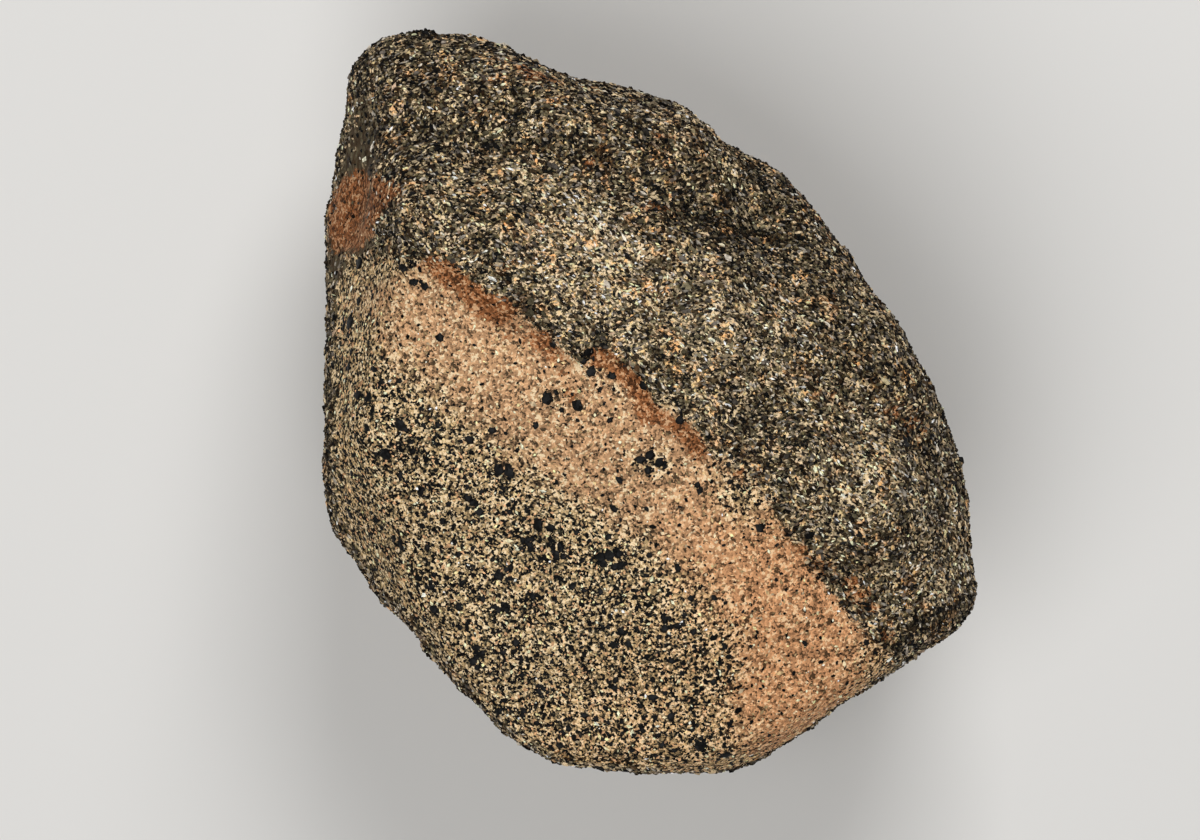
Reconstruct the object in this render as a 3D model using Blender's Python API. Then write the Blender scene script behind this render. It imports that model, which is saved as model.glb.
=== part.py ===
"""A martian meteorite: one whole stone with a dark weathered crust and one broken tan face.

The stone lies on its back. Seen from above, +X is to the right, +Y runs up its long way to the
narrow end, and +Z points at the viewer. The origin is on the ground under the middle of the plan.
Sizes are in millimetres and degrees until the last step, which turns them into metres.
"""

import math

import bmesh
import bpy
import numpy as np
from mathutils import Matrix, Vector, noise

METRES_PER_MM = 0.001

# Overall size of the stone
CROWN_HEIGHT = 148.0  # from the ground to the crown, before the crust's relief
PLAN_CENTRE = (-5.0, 0.0)  # the point that the stone's outline is measured round
GRID_STEPS = 28  # squares along each edge of the six-sided grid that becomes the stone
GRID_TURN = -38.0  # the grid's squares lie along the crust's edge, so that it bends cleanly

# The stone's widest line, seen from above, clockwise from the narrow end
OUTLINE = [
    (-67.5, 112.0), (-58.5, 110.0), (-44.5, 106.0), (-30.5, 100.0), (-25.0, 97.0), (-15.0, 95.0),
    (0.5, 90.5), (12.5, 84.5), (20.0, 78.5), (30.0, 73.5), (40.5, 67.5), (46.0, 61.5),
    (51.0, 53.5), (59.5, 43.0), (66.0, 32.5), (71.5, 24.0), (79.0, 10.0), (86.5, -0.5),
    (91.5, -10.0), (94.5, -20.5), (96.0, -35.5), (97.5, -47.5), (99.0, -59.5), (97.5, -65.5),
    (88.0, -72.0), (77.5, -78.5), (66.5, -86.5), (58.0, -91.0), (45.5, -100.5), (36.5, -105.5),
    (27.5, -110.0), (15.0, -111.5), (-3.0, -112.0), (-21.5, -110.0), (-32.0, -107.0),
    (-46.0, -97.5), (-55.5, -88.5), (-64.5, -78.0), (-71.5, -69.0), (-79.0, -61.5),
    (-86.5, -51.5), (-92.0, -44.5), (-96.5, -38.5), (-98.0, -29.5), (-98.5, -20.5),
    (-97.5, -8.5), (-97.5, 6.5), (-97.0, 21.5), (-97.0, 36.5), (-98.5, 52.0), (-96.0, 63.5),
    (-95.0, 72.5), (-91.5, 81.5), (-90.5, 93.5), (-90.0, 99.0), (-86.0, 105.0), (-79.5, 109.5),
]
OUTLINE_STEPS = 12  # points of the smooth line between two of the points above
OUTLINE_BLUR = 16  # degrees over which its notches are evened out above and below the widest line
OUTLINE_BAND = 26.0  # how far from the widest line they have died away, in degrees up or down
EVEN_INSET = 2.2  # how far inside the outline the evened sides stand, so that the notches show

# How high the widest line runs above the ground, by bearing from the centre (0 is +X, 90 is +Y)
RIM_HEIGHTS = [
    (0, 78.0), (40, 70.0), (80, 74.0), (115, 82.0), (150, 78.0), (190, 84.0),
    (235, 92.0), (270, 95.0), (305, 92.0), (335, 84.0),
]

# How square the sides are: 2 is round, and more is squarer
TOP_SQUARENESS = 3.3
UNDER_SQUARENESS = 2.5

# The underside: how far its raw bowl would dip below the ground, and how fast it rises outwards
BOWL_DIP = 4.6
BOWL_RISE = 0.0011

# Broad flat breaks of the stone: bearing and tilt of the outward normal, and a point on it.
# A tilt of 0 faces up, 90 faces sideways and 180 faces down.
BREAKS = {
    "tan face": (233, 19, (-3.0, -8.0, 146.0)),
    "tan face, left margin": (208, 63, (-90.0, -34.0, 101.0)),
    "crust slope": (51, 9, (-3.0, -8.0, 146.0)),
    "crust shoulder": (43, 37, (44.0, 42.0, 117.0)),
    "left wall": (172, 66, (-88.0, 62.0, 103.0)),
    "narrow end": (112, 42, (-60.0, 97.0, 107.0)),
    "right wall": (2, 62, (90.0, -40.0, 98.0)),
    "fall to the right corner": (318, 21, (36.0, -44.0, 136.0)),
    "left underside": (188, 122, (-88.0, -8.0, 48.0)),
    "end underside": (98, 124, (-40.0, 92.0, 46.0)),
    "right underside": (25, 130, (68.0, 8.0, 34.0)),
    "corner underside": (325, 119, (84.0, -60.0, 50.0)),
    "lower underside": (262, 120, (-12.0, -100.0, 48.0)),
    "lower left underside": (228, 128, (-62.0, -66.0, 38.0)),
    "back slope": (120, 161, (-50.0, 58.0, 11.0)),
}
BREAK_ROUNDING = 3.0  # how softly a break's edges are rounded

# The edge between the crust and the tan face, seen from above, from left to right
CRUST_EDGE = [
    (-125.0, 62.0), (-82.0, 48.0), (-66.0, 40.0), (-45.0, 25.0), (-31.0, 19.0), (-26.0, 9.0),
    (-15.0, 15.0), (-2.0, 5.0), (3.0, -5.0), (15.0, -15.0), (29.0, -25.0), (42.0, -43.0),
    (54.0, -57.0), (69.0, -70.0), (95.0, -92.0),
]
# How far the crust stands above the tan face along that edge, by distance from its left end
EDGE_STEPS = [
    (0, 1.0), (45, 1.5), (62, 4.5), (100, 4.0), (112, 2.0), (128, 2.5),
    (140, 5.0), (165, 4.5), (185, 2.0), (225, 0.8), (300, 0.0),
]
EDGE_WIDTH = 5.0  # how wide the step is, seen from above
EDGE_FADE = 46.0  # how far behind the edge the raised crust has died away
TAN_BLEND = 12.0  # how far in front of the edge the tan face is fully smooth

# Lumps and hollows of the face that looks up: centre, half length, half width, turn of the long
# way from +X, and height, which is negative for a hollow
TOP_RELIEF = {
    "dome at the narrow end": (-66.0, 93.0, 24.0, 14.0, 5, 4.5),
    "trough behind the dome, left": (-74.0, 81.0, 18.0, 6.0, -25, -3.5),
    "trough behind the dome, middle": (-42.0, 72.0, 26.0, 7.0, -15, -3.5),
    "trough behind the dome, right": (-6.0, 63.0, 18.0, 7.0, -20, -3.0),
    "trough across the shoulder": (30.0, 48.0, 24.0, 8.0, -28, -3.5),
    "hump between the troughs": (-22.0, 80.0, 13.0, 8.0, -10, 2.5),
    "hump on the upper edge": (8.0, 77.0, 17.0, 9.0, -38, 3.5),
    "coarse hump": (-18.0, 47.0, 17.0, 12.0, 10, 3.5),
    "valley beside the coarse hump": (8.0, 27.0, 8.0, 11.0, 0, -3.0),
    "hump on the shoulder": (46.0, 18.0, 16.0, 12.0, -50, 2.5),
    "hollow under the shoulder": (58.0, -1.0, 24.0, 7.0, -8, -3.5),
    "brown hollow at the right": (78.0, -12.0, 10.0, 15.0, 20, -3.0),
    "hump at the lower right": (62.0, -32.0, 14.0, 18.0, 15, 4.0),
    "grey dimple": (73.0, -49.0, 7.0, 9.0, 0, -1.8),
    "hollow along the crust's end": (54.0, -54.0, 20.0, 8.0, -45, -2.0),
    "red hollow in the left wall": (-89.0, 58.0, 9.0, 14.0, 15, -4.0),
    "upper chip in the tan face": (-44.0, 18.0, 17.0, 7.0, -32, -2.5),
    "middle chip in the tan face": (-22.0, 5.0, 10.0, 9.0, -40, -2.0),
    "lower swell of the tan face": (0.0, -62.0, 34.0, 20.0, 20, 2.5),
    "left swell of the tan face": (-62.0, -20.0, 20.0, 28.0, 10, 2.0),
    "dip between the swells": (-38.0, -50.0, 12.0, 22.0, -40, -2.0),
    "gully by the right of the tan face": (30.0, -62.0, 10.0, 26.0, 35, -2.0),
}

# Lumps and hollows of the sides and the underside: bearing, elevation and spread as seen from the
# middle of the stone, and height
SIDE_RELIEF = {
    "bump under the narrow end": (115, -20, 14, 4.0),
    "scoop in the upper side": (68, -12, 13, -4.5),
    "bump in the right side": (15, -14, 12, 3.5),
    "scoop under the right corner": (338, -26, 14, -4.5),
    "shelf in the lower side": (288, -18, 13, 4.0),
    "scoop in the lower left side": (238, -20, 15, -4.5),
    "bump in the left side": (200, -16, 11, 3.5),
    "scoop in the left side": (165, -18, 13, -4.0),
    "scoop in the back, upper": (85, -56, 15, -4.0),
    "bump in the back, right": (10, -52, 13, 3.5),
    "scoop in the back, lower": (250, -54, 15, -4.0),
}

# The surface's own unevenness: wavelength and height of each layer
WAVES = [(42.0, 4.8), (18.0, 3.0)]
TAN_FACE_CALM = 0.45  # the tan face is this much as uneven as the crust
RIM_CALM = 0.35  # the widest line is this much as uneven, to keep the outline
RIM_CALM_BAND = 18.0  # how far from the widest line the rest is calmed, in degrees up or down
TOP_STARTS = -0.02  # the top's relief sets in at this height on a ball of radius 1
TOP_BLEND = 0.25  # and is whole this much higher up

STONE_COLOUR = (0.20, 0.145, 0.10, 1.0)
STONE_ROUGHNESS = 0.78
SMOOTH_ANGLE = 50.0  # steeper folds than this stay sharp to the eye


def clear_scene():
    for item in list(bpy.data.objects):
        bpy.data.objects.remove(item, do_unlink=True)


def smooth_step(value):
    """0 below 0, 1 above 1, and an easy curve between."""
    t = np.clip(value, 0.0, 1.0)
    return t * t * (3.0 - 2.0 * t)


def fade(distance, reach):
    """1 at no distance, dying away over the given reach."""
    return np.exp(-((distance / reach) ** 2))


def toward(bearing, elevation):
    """The unit vector with this bearing and this elevation, both in degrees."""
    b = math.radians(bearing)
    e = math.radians(elevation)
    return np.array([math.cos(e) * math.cos(b), math.cos(e) * math.sin(b), math.sin(e)])


def smooth_closed_line(points, steps):
    """Points of a smooth closed curve that passes through the given points."""
    line = []
    for i, here in enumerate(points):
        before = points[i - 1]
        after = points[(i + 1) % len(points)]
        beyond = points[(i + 2) % len(points)]
        for k in range(steps):
            t = k / steps
            straight = after - before
            bend = 2 * before - 5 * here + 4 * after - beyond
            twist = 3 * here - before - 3 * after + beyond
            line.append(here + 0.5 * t * (straight + t * (bend + t * twist)))
    return np.array(line)


def smooth_by_bearing(bearings, table):
    """Values of a table of (bearing, value) at the given bearings, smooth all the way round."""
    once = np.array(table, float)
    thrice = np.concatenate([once + (360.0 * turn, 0.0) for turn in (-1, 0, 1)])
    line = smooth_closed_line(thrice, OUTLINE_STEPS)[: -2 * OUTLINE_STEPS]
    return np.interp(bearings % 360.0, line[:, 0], line[:, 1])


def outline_radius(bearings):
    """Distance from the plan's centre to the widest line."""
    line = smooth_closed_line(np.array(OUTLINE), OUTLINE_STEPS) - np.array(PLAN_CENTRE)
    around = np.degrees(np.arctan2(line[:, 1], line[:, 0])) % 360.0
    order = np.argsort(around)
    radius = np.hypot(line[:, 0], line[:, 1])
    return np.interp(bearings % 360.0, around[order], radius[order], period=360.0)


def even_radius(bearings):
    """The same distance with its notches evened out."""
    turns = np.linspace(-OUTLINE_BLUR, OUTLINE_BLUR, 2 * OUTLINE_BLUR + 1)
    weights = 1.0 + np.cos(np.pi * turns / OUTLINE_BLUR)
    nearby = [weight * outline_radius(bearings + turn) for turn, weight in zip(turns, weights)]
    return np.sum(nearby, axis=0) / np.sum(weights) - EVEN_INSET


def make_grid():
    """A cube whose six sides are cut into squares, as a bmesh."""
    grid = bmesh.new()
    bmesh.ops.create_cube(grid, size=2.0)
    bmesh.ops.subdivide_edges(grid, edges=grid.edges[:], cuts=GRID_STEPS - 1, use_grid_fill=True)
    return grid


def ball_directions(grid):
    """The unit vector of each corner of the grid, spread evenly over a ball."""
    corners = np.array([corner.co for corner in grid.verts])
    turned = np.tan(corners * math.pi / 4.0) @ np.array(
        Matrix.Rotation(math.radians(-GRID_TURN), 3, "Z")
    )
    return turned / np.linalg.norm(turned, axis=1, keepdims=True)


def first_form(directions):
    """The stone as a rounded block on its outline, before it is broken and worn."""
    bearings = np.degrees(np.arctan2(directions[:, 1], directions[:, 0]))
    elevations = np.degrees(np.arcsin(directions[:, 2]))
    level = np.hypot(directions[:, 0], directions[:, 1])
    upright = np.abs(directions[:, 2])
    above = directions[:, 2] > 0.0
    squareness = np.where(above, TOP_SQUARENESS, UNDER_SQUARENESS)
    size = (level**squareness + upright**squareness) ** (1.0 / squareness)
    notched = fade(elevations, OUTLINE_BAND)
    edge = notched * outline_radius(bearings) + (1.0 - notched) * even_radius(bearings)
    reach = level / size * edge
    lift = upright / size
    rim = smooth_by_bearing(bearings, RIM_HEIGHTS)
    bowl = BOWL_RISE * reach**2 - BOWL_DIP
    height = rim + (np.where(above, CROWN_HEIGHT, bowl) - rim) * lift
    x = PLAN_CENTRE[0] + reach * np.cos(np.radians(bearings))
    y = PLAN_CENTRE[1] + reach * np.sin(np.radians(bearings))
    return np.stack([x, y, height], axis=1)


def cut_breaks(places):
    """Flatten what stands past each break, with a rounded edge."""
    for bearing, tilt, on_it in BREAKS.values():
        normal = toward(bearing, 90.0 - tilt)
        past = (places - np.array(on_it)) @ normal
        kept = -BREAK_ROUNDING * np.logaddexp(0.0, -past / BREAK_ROUNDING)
        places = places + np.outer(kept - past, normal)
    return places


def from_crust_edge(places):
    """Distance from the crust's edge, seen from above and positive on the crust, and along it."""
    nearest = np.full(len(places), np.inf)
    side = np.zeros(len(places))
    along = np.zeros(len(places))
    travelled = 0.0
    for start, end in zip(CRUST_EDGE, CRUST_EDGE[1:]):
        run = np.array(end) - np.array(start)
        length = np.linalg.norm(run)
        offset = places[:, :2] - np.array(start)
        share = np.clip(offset @ run / length**2, 0.0, 1.0)
        gap = np.linalg.norm(offset - np.outer(share, run), axis=1)
        closer = gap < nearest
        left_of_run = np.sign(run[0] * offset[:, 1] - run[1] * offset[:, 0])
        nearest = np.where(closer, gap, nearest)
        side = np.where(closer, left_of_run, side)
        along = np.where(closer, travelled + share * length, along)
        travelled += length
    return nearest * side, along


def crust_step(places):
    """Height of the crust's raised edge over the tan face."""
    gap, along = from_crust_edge(places)
    distances, heights = zip(*EDGE_STEPS)
    full_height = np.interp(along, distances, heights)
    risen = smooth_step(gap / EDGE_WIDTH + 0.5)
    return full_height * risen * fade(np.maximum(gap, 0.0), EDGE_FADE)


def top_relief(places):
    """Height of the lumps and hollows of the face that looks up."""
    height = np.zeros(len(places))
    for x, y, half_length, half_width, turn, rise in TOP_RELIEF.values():
        c = math.cos(math.radians(turn))
        s = math.sin(math.radians(turn))
        dx = places[:, 0] - x
        dy = places[:, 1] - y
        lengthwise = (dx * c + dy * s) / half_length
        crosswise = (dy * c - dx * s) / half_width
        height += rise * fade(np.hypot(lengthwise, crosswise), 1.0)
    return height


def side_relief(directions):
    """Height of the lumps and hollows of the sides and the underside."""
    height = np.zeros(len(directions))
    for bearing, elevation, spread, rise in SIDE_RELIEF.values():
        nearness = np.clip(directions @ toward(bearing, elevation), -1.0, 1.0)
        height += rise * fade(np.degrees(np.arccos(nearness)), spread)
    return height


def unevenness(places):
    """Height of the surface's own unevenness."""
    height = np.zeros(len(places))
    for wavelength, rise in WAVES:
        height += rise * np.array([noise.noise(Vector(place) / wavelength) for place in places])
    return height


def move_corners(grid, places):
    """Put the grid's corners at the given places and return its normals there."""
    for corner, place in zip(grid.verts, places):
        corner.co = place
    grid.normal_update()
    return np.array([corner.normal for corner in grid.verts])


def stone_surface(grid):
    """Where each corner of the grid ends up on the finished stone, in millimetres."""
    directions = ball_directions(grid)
    places = cut_breaks(first_form(directions))
    normals = move_corners(grid, places)
    on_top = smooth_step((directions[:, 2] - TOP_STARTS) / TOP_BLEND)
    tan_face = on_top * smooth_step(-from_crust_edge(places)[0] / TAN_BLEND)
    calm = 1.0 - (1.0 - TAN_FACE_CALM) * tan_face
    height = on_top * (crust_step(places) + top_relief(places))
    height += side_relief(directions) + calm * unevenness(places)
    near_rim = fade(np.degrees(np.arcsin(directions[:, 2])), RIM_CALM_BAND)
    height *= 1.0 - (1.0 - RIM_CALM) * near_rim
    places = places + normals * height[:, None]
    places[:, 2] = np.maximum(places[:, 2], 0.0)  # the flat spot that the stone rests on
    middle = (places.min(axis=0) + places.max(axis=0)) / 2.0
    return places - np.array([middle[0], middle[1], 0.0])


def stone_material():
    material = bpy.data.materials.new("weathered stone")
    material.use_nodes = True
    surface = material.node_tree.nodes["Principled BSDF"]
    surface.inputs["Base Color"].default_value = STONE_COLOUR
    surface.inputs["Roughness"].default_value = STONE_ROUGHNESS
    surface.inputs["Metallic"].default_value = 0.0
    return material


def make_meteorite():
    grid = make_grid()
    move_corners(grid, stone_surface(grid) * METRES_PER_MM)
    mesh = bpy.data.meshes.new("meteorite")
    grid.to_mesh(mesh)
    grid.free()
    mesh.shade_smooth()
    mesh.set_sharp_from_angle(angle=math.radians(SMOOTH_ANGLE))
    mesh.materials.append(stone_material())
    stone = bpy.data.objects.new("meteorite", mesh)
    bpy.context.scene.collection.objects.link(stone)


clear_scene()
make_meteorite()
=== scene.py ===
"""Dresses the meteorite's solid: its crust, its broken tan face, iron stains, crystals and grains."""

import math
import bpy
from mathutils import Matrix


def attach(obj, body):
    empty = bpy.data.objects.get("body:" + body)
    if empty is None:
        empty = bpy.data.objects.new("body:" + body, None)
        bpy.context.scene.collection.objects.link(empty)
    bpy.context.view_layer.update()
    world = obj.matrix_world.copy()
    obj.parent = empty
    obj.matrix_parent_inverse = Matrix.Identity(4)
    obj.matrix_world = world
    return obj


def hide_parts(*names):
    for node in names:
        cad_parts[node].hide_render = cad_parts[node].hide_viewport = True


bl_info = {
    "name": "Martian meteorite",
    "version": (1, 0, 0),
    "blender": (4, 5, 0),
    "location": "3D View > Sidebar > Meteorite",
    "description": "Dresses the solid of a meteorite with its crust, its broken face and its grains",
    "category": "Add Mesh",
}

import bmesh
import bpy
import numpy as np
from mathutils import Vector, noise
from mathutils.bvhtree import BVHTree

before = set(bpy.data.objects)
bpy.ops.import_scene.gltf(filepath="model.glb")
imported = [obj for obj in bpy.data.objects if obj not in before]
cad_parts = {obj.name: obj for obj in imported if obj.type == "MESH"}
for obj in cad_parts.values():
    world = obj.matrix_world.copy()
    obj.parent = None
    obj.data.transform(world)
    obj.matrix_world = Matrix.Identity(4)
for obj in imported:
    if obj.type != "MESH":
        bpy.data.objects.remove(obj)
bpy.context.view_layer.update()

# Places and sizes below are in millimetres unless they say otherwise
MM = 0.001

# The camera looks straight down: the middle of its picture, the picture's width at the height of the
# stone's rim, that height, and the lens and sensor that give the camera's height above the rim
PICTURE_CENTRE = np.array((-14.85, -5.55))
PICTURE_WIDTH = 360.0
RIM_HEIGHT = 85.0
LENS = 300.0
SENSOR = 36.0
CAMERA_HEIGHT = PICTURE_WIDTH * LENS / SENSOR

# The broken tan face, as seen from above: first its edge against the crust, then the rim round its foot
FACE_CRUST_EDGE = [
    (-89, 43), (-79, 44), (-66, 42), (-57, 39), (-51, 33), (-47, 27), (-40, 27), (-36, 24),
    (-30, 19), (-26, 15), (-21, 12), (-17, 16), (-11, 14), (-5, 11), (-1, 5), (2, 0),
    (7, 0), (12, -6), (16, -13), (22, -16), (27, -23), (34, -27), (40, -36), (41, -40),
    (46, -46), (51, -54), (57, -61), (66, -70), (73, -79),
]
FACE_FOOT = [
    (75, -80), (64, -88), (57, -92), (44, -102), (33, -108), (25, -112), (0, -110), (-18, -108),
    (-27, -106), (-36, -101), (-43, -96), (-51, -89), (-57, -82), (-64, -75), (-71, -65),
    (-77, -58), (-83, -50), (-89, -41), (-93, -33), (-94, -23), (-94, 28), (-92, 37),
]
# The smooth band of the tan face runs beside the ridge, along this line. The specks begin at the first
# distance from it and are at their thickest at the second
SMOOTH_BAND = [(-72, 30), (-58, 22), (-40, 8), (-18, -10), (10, -25), (30, -45), (46, -66), (44, -92)]
SPECKS_START_AT = 8.0
SPECKS_FULL_AT = 31.0

# Scarps under the crust's edge, with a dark rust band that is partly the steps' own iron stain and partly
# painted shade on the steps and at their foot: points along each, half width and strength
SCARPS = {
    "upper scarp": ([(-65, 41), (-55, 34), (-47, 28)], 4.0, 0.85),
    "upper scarp's foot": ([(-52, 29), (-42, 22), (-33, 18)], 5.0, 0.45),
    "short scarp": ([(-31, 17), (-26, 9), (-23, 1)], 3.0, 0.5),
    "middle scarp": ([(-15, 13), (-8, 9), (-4, 4), (-1, -2)], 3.4, 1.0),
    "lower scarp": ([(0, -4), (7, -7), (13, -12), (15, -15)], 3.8, 0.8),
}
# Iron stains. They and the spots below are soft ovals, as seen from above: x, y, half length, half width,
# bearing of the length in degrees, strength
STAINS = {
    "wall under the dome": (-86, 62, 9, 5.5, 10, 1.6),
    "wall's foot": (-90, 53, 8, 6, 60, 1.5),
    "brown top margin": (-36, 99, 14, 4, -20, 0.55),
    "stain behind the hump": (-18, 71, 8, 4, -20, 0.4),
    "streak at the top": (5, 79, 8, 1.6, -25, 0.5),
    "streak above the trough": (3, 58, 9, 2.4, -5, 0.5),
    "spot by the scarp": (-43, 28, 2.6, 2.6, 0, 1.0),
    "spot above the scarp": (-43, 41, 4, 4, 0, 0.45),
    "side of the hump": (-33, 53, 4.5, 4, 0, 0.4),
    "fall to the ledge": (29, -23, 6, 4, -30, 0.5),
    "ledge": (46, -45, 9, 3, -45, 0.55),
    "lower ledge": (62, -58, 10, 6, -50, 0.5),
    "corner": (71, -72, 5, 3, -50, 0.5),
    "right hollow": (76, -6, 12, 7, -40, 0.45),
    "right shoulder": (54, 4, 9, 5, -20, 0.25),
}
# The crust is paler where its tone is above 0, and darker where it is below. The tones are partly the
# crust's own paler and darker rock and partly painted light and shade: painted light on the humps, and
# painted shade in the troughs and the hollow, at the corner's foot and along the top and left margins, where
# the stone turns away from the light
TONES_AND_PAINTED_SHADING = {
    "dome": (-66, 94, 26, 14, -10, -0.35),
    # The pale hump: paler rock, with painted light on top
    "pale hump": (-19, 46, 20, 14, -20, 0.9),
    "middle of the crust": (14, 22, 24, 12, -35, 0.6),
    "grey patch on the dome": (-54, 100, 12, 5, 0, 0.45),
    "grey streaks": (-47, 68, 18, 7, 10, 0.3),
    "dome's cream spots": (-72, 92, 12, 6, 0, 0.25),
    # The troughs: darker rock, with painted shade in them
    "first trough": (-45, 79, 34, 5.5, -8, -0.5),
    "long trough": (14, 54, 32, 6, -20, -0.6),
    # The top margin: painted shade where the stone curves away from the light
    "top margin": (-50, 108, 36, 5, -12, -0.5),
    "top edge": (2, 82, 18, 8, -25, -0.3),
    # The right hump: paler rock, with painted light on top
    "right hump": (64, -22, 14, 13, -50, 0.7),
    # The right hollow: painted shade in it
    "right hollow": (78, 0, 16, 8, -50, -0.3),
    "dark end": (68, -56, 9, 12, -30, 0.1),
    "pale corner": (88, -48, 9, 10, -60, 0.5),
    # The corner's foot: painted shade
    "corner's foot": (86, -65, 16, 4, 25, -0.5),
    "shoulder": (33, 26, 16, 12, -50, 0.2),
    "upper shoulder": (40, 58, 18, 10, -50, -0.4),
    # Painted shade along the steep left margin
    "left margin": (-97, -6, 30, 3.5, 90, -0.6),
}
# More black specks on the broken face
SPECKLED_PATCHES = {
    "top left corner": (-77, 41, 12, 6, 10, 0.8),
    "left edge": (-86, 18, 9, 16, 0, 0.45),
    "under the short scarp": (-27, 2, 7, 5, 0, 0.45),
    "by the crystal cluster": (1, -19, 6, 4, 0, 0.8),
    "by the ledge": (27, -28, 11, 7, -45, 0.8),
}
# Smooth brown rock with few grains
BARE_PLACES = {"left wall": (-89, 56, 36, 7, 84, 1.1)}
# Blotches of the broken face with more of the olive and black grains
GREEN_BLOTCHES = {
    "upper left": (-72, -14, 10, 6, 20, 0.8),
    "middle left": (-50, -18, 9, 5, -40, 0.7),
    "upper middle": (-36, -12, 8, 5, 0, 0.5),
    "middle": (-38, -42, 9, 6, -30, 0.8),
    "lower middle": (-14, -58, 12, 7, 30, 0.8),
    "foot": (8, -86, 8, 7, 60, 0.6),
    "low left": (-52, -70, 8, 6, 0, 0.6),
    "by the scarps": (0, -18, 7, 5, 0, 0.4),
}
# The largest black crystals, as seen from above: x, y and half width
LARGE_CRYSTALS = [
    (-86.9, 41.9, 2.7), (-74.0, 40.1, 1.5), (-70.4, 35.9, 1.2), (-67.4, 34.7, 1.2), (-62.9, 19.1, 1.4),
    (-29.0, 17.0, 1.2), (-23.9, 17.0, 1.0), (-17.9, 14.9, 2.1), (-17.3, 8.9, 1.8), (-30.8, 1.1, 2.0),
    (-27.8, 2.9, 1.0), (-26.3, -2.6, 1.0), (-21.8, -1.1, 1.8), (-14.9, 3.5, 1.0), (-11.9, -5.6, 1.0),
    (-2.0, 4.7, 1.5), (-2.9, -17.6, 1.5), (0.2, -16.1, 1.5), (3.2, -18.2, 1.5), (-0.5, -20.6, 1.2),
    (-8.9, -23.6, 1.2), (-53.9, -11.6, 1.5), (-47.3, -8.6, 1.5), (-41.9, -21.2, 1.8), (-45.5, -20.6, 1.8),
    (-74.9, -7.1, 2.1), (-79.4, -16.1, 2.1), (-91.4, 23.0, 1.8), (-82.4, 9.5, 1.5),
]
# Knots of smaller black crystals: x, y and half width
CRYSTAL_KNOTS = [
    (-52.4, -31.1, 3.0), (-43.4, -52.1, 2.4), (-37.4, -43.1, 2.7), (-26.9, -44.6, 3.0), (-11.9, -47.6, 3.6),
    (-65.9, -53.6, 2.4), (-44.9, -62.6, 2.4), (-50.9, -76.1, 3.0), (-8.9, -71.6, 3.0), (6.2, -67.1, 2.7),
    (-32.9, -86.6, 2.4), (-43.4, -92.6, 2.4), (-10.4, -85.1, 2.4), (-26.9, -100.1, 1.5), (15.2, -101.6, 1.8),
]
CRYSTALS_A_KNOT = 7
KNOT_SHARES = (0.25, 0.5)  # least and most half width of a knot's crystals, as shares of the knot's
LOOSE_CRYSTALS = 260
LOOSE_WIDTHS = (-0.15, 0.25)  # mean and spread of the logarithm of a loose crystal's half width
# A black crystal's least and most length, width and height, as shares of its full width
CRYSTAL_LEAST = (1.0, 0.75, 0.35)
CRYSTAL_MOST = (1.4, 1.1, 0.5)
# How much it is tilted at random, and how deep it is sunk as a share of its height
CRYSTAL_TILT = 0.12
CRYSTAL_SUNK = 0.12

# The part of the stone that looks up, where the places above hold
UPWARD_LEAN = 0.02
UPWARD_BLEND = 0.3
TOP_STARTS = 58.0
TOP_BLEND = 18.0
NOT_THE_FACE = -6.0  # depth inside the face that is given to all that doesn't look up

# How far the borders of the zones wander, and over what length
WANDER_LENGTH = 7.0
EDGE_WANDER = 1.3
BAND_WANDER = 4.0

# Stains and tones of the sides and the back, which are guessed: strength and length of the patches
SIDE_STAIN = 0.55
SIDE_STAIN_LENGTH = 26.0
SIDE_TONE = 0.5
SIDE_TONE_LENGTH = 30.0
# How far a tone may go either way, and the lengths of the soft and of the reddish patches
TONE_LIMIT = 1.2
SOFT_LENGTH = 4.5
REDDISH_LENGTH = 8.0
# The broken face turns redder towards the lower right: x minus y where that starts, and over what span
WARM_FROM = 15.0
WARM_OVER = 80.0

# The crust's lip and the groove before it: size, depth inside the face of its middle, and half width
LIP = (0.9, -1.0, 1.2)
GROOVE = (0.5, 1.2, 1.4)
LIP_ENDS = 190.0  # x minus y where both have died away
LIP_FADE = 40.0
FLAT_SPOT_HEIGHT = 0.3  # what is lower than this isn't moved
FLAT_SPOT_BLEND = 4.0
CRUST_STRETCH = (0.75, 1.0, 1.0)  # the crust's lumps are a little longer along X
QUAD_ANGLE = 70.0  # the solid's triangles are joined into quads up to this angle, in degrees

# Sizes in the patterns of the materials
CELL_SIZE = 0.78
CELL_WANDER = 1.2
FINE_SIZE = 0.7
MID_SIZE = 3.5
STREAK_SIZE = 0.9
MOTTLE_SIZE = 0.8
BUMP_DEPTH = 0.4
# What a cell's own random number and the fine noise count in a grain's value, and its contrast
CELL_SHARE = 0.85
CELL_BASE = 0.075
FINE_SHARE = 0.7
CONTRAST = 1.4
CONTRAST_SHIFT = -0.2
# How far the face's border wanders with the mid-sized and the fine noise, and how soft it is
MID_RAGGED = 9.0
FINE_RAGGED = 5.0
BORDER_SOFTNESS = 0.4
# The strength at which stains and bare rock begin and are full, how far their borders wander with the
# mid-sized and the fine noise, and how much of the colour below a full stain hides
STAIN_RANGE = (0.28, 0.62)
STAIN_MID = 1.2
STAIN_FINE = 0.7
STAIN_COVER = 0.9
BARE_RANGE = (0.3, 0.7)
BARE_MID = 0.8
STONE_SHINE = 0.06
STONE_ROUGHNESS = (0.55, 0.8)  # least and most

# Tints that a colour is multiplied by
CRUST_REDDER = (1.25, 0.78, 0.48, 1.0)
FACE_WARMER = (1.09, 0.94, 0.85, 1.0)
GRAIN_REDDER = (1.2, 0.75, 0.45)
# Grain colours that come beside the ones in the settings
PALE_GREY = (0.44, 0.39, 0.32, 1.0)
GREY_BROWN = (0.10, 0.085, 0.07, 1.0)

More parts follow.
